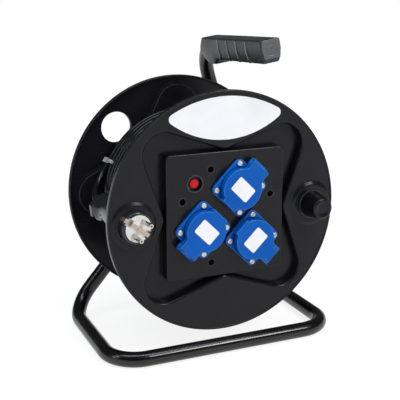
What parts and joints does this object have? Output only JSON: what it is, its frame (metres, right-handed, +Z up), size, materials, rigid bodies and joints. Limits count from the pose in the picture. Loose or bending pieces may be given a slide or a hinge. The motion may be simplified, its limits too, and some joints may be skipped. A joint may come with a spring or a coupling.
{
  "type": "extension cable reel",
  "caption": "Portable extension cable reel: a plastic drum with lidded sockets and a winding knob turns on a bent tube frame with a carrying grip; its plug is parked in the flange.",
  "frame": {"origin": "on the floor, under the middle of the box round the reel without its cord", "axes": "+X to the right as one faces the sockets, +Y to the back along the drum's axis, +Z up"},
  "size_m": [0.297, 0.2176, 0.3629],
  "materials": {
    "tube_black": "gloss",
    "grip_grey": "matte",
    "zinc": "satin",
    "screw_black": "satin",
    "bush_white": "matte",
    "drum_black": "satin",
    "panel_black": "satin",
    "socket_blue": "satin",
    "contact_brass": "satin",
    "seal_rubber": "matte",
    "label_white": "matte",
    "button_red": "gloss",
    "cord_black": "satin",
    "terminal_white": "matte",
    "tie_black": "satin",
    "plug_black": "satin",
    "plug_white": "satin",
    "plug_nickel": "gloss",
    "plug_strap": "satin"
  },
  "bodies": {
    "frame": {"frame_tube": "tube_black", "grip": "grip_grey", "axle_sleeve": "zinc", "axle_bolt": "zinc", "axle_washer": "zinc", "lock_nut": "zinc"},
    "knob": {"knob": "panel_black"},
    "reset_button": {"reset_button": "button_red"},
    "lid_a": {"lid_a": "socket_blue", "lid_gasket_a": "seal_rubber", "lid_sticker_a": "label_white"},
    "lid_b": {"lid_b": "socket_blue", "lid_gasket_b": "seal_rubber", "lid_sticker_b": "label_white"},
    "lid_c": {"lid_c": "socket_blue", "lid_gasket_c": "seal_rubber", "lid_sticker_c": "label_white"},
    "drum": {"barrel_screws": "zinc", "knob_spindle": "zinc", "socket_screws_a": "zinc", "socket_screws_b": "zinc", "socket_screws_c": "zinc", "hinge_pin_a": "zinc", "hinge_pin_b": "zinc", "hinge_pin_c": "zinc", "lid_spring_a": "zinc", "lid_spring_b": "zinc", "lid_spring_c": "zinc", "earth_clips_a": "zinc", "earth_clips_b": "zinc", "earth_clips_c": "zinc", "panel_screws": "screw_black", "hub_bush": "bush_white", "front_flange": "drum_black", "rear_flange": "drum_black", "barrel": "drum_black", "socket_panel": "panel_black", "breaker_collar": "panel_black", "breaker_body": "panel_black", "socket_base_a": "socket_blue", "socket_base_b": "socket_blue", "socket_base_c": "socket_blue", "socket_insert_a": "socket_blue", "socket_insert_b": "socket_blue", "socket_insert_c": "socket_blue", "contacts_a": "contact_brass", "contacts_b": "contact_brass", "contacts_c": "contact_brass", "cord_gland": "seal_rubber", "flange_label": "label_white", "cord_core": "cord_black", "cord_winding": "cord_black", "cord_lead": "cord_black", "cord_tail": "cord_black", "terminal_block": "terminal_white", "cable_tie": "tie_black", "plug_body": "plug_black", "plug_insert": "plug_white", "plug_pins": "plug_nickel", "plug_earth": "plug_strap"}
  },
  "joints": [
    {"name": "drum_spin", "type": "hinge", "parent": "frame", "child": "drum", "pos_m": [-0.0025, 0.08955, 0.1665], "axis": [0, 1, 0], "continuous": true},
    {"name": "knob_spin", "type": "hinge", "parent": "drum", "child": "knob", "pos_m": [0.1085, -0.09245, 0.1665], "axis": [0, 1, 0], "continuous": true},
    {"name": "lid_hinge_a", "type": "hinge", "parent": "drum", "child": "lid_a", "pos_m": [0.03363, -0.08685, 0.21743], "axis": [-0.7071, 0, 0.7071], "range_deg": [0, 110], "stiffness_Nm_per_rad": 0.02, "springref_deg": -34.38},
    {"name": "lid_hinge_b", "type": "hinge", "parent": "drum", "child": "lid_b", "pos_m": [-0.05343, -0.08685, 0.13037], "axis": [0.7071, 0, -0.7071], "range_deg": [0, 110], "stiffness_Nm_per_rad": 0.02, "springref_deg": -34.38},
    {"name": "lid_hinge_c", "type": "hinge", "parent": "drum", "child": "lid_c", "pos_m": [0.05042, -0.08685, 0.11357], "axis": [0.7071, 0, 0.7071], "range_deg": [0, 110], "stiffness_Nm_per_rad": 0.02, "springref_deg": -34.38},
    {"name": "reset_press", "type": "slide", "parent": "drum", "child": "reset_button", "axis": [0, -1, 0], "range_m": [0, 0.003], "stiffness_N_per_m": 300}
  ]
}
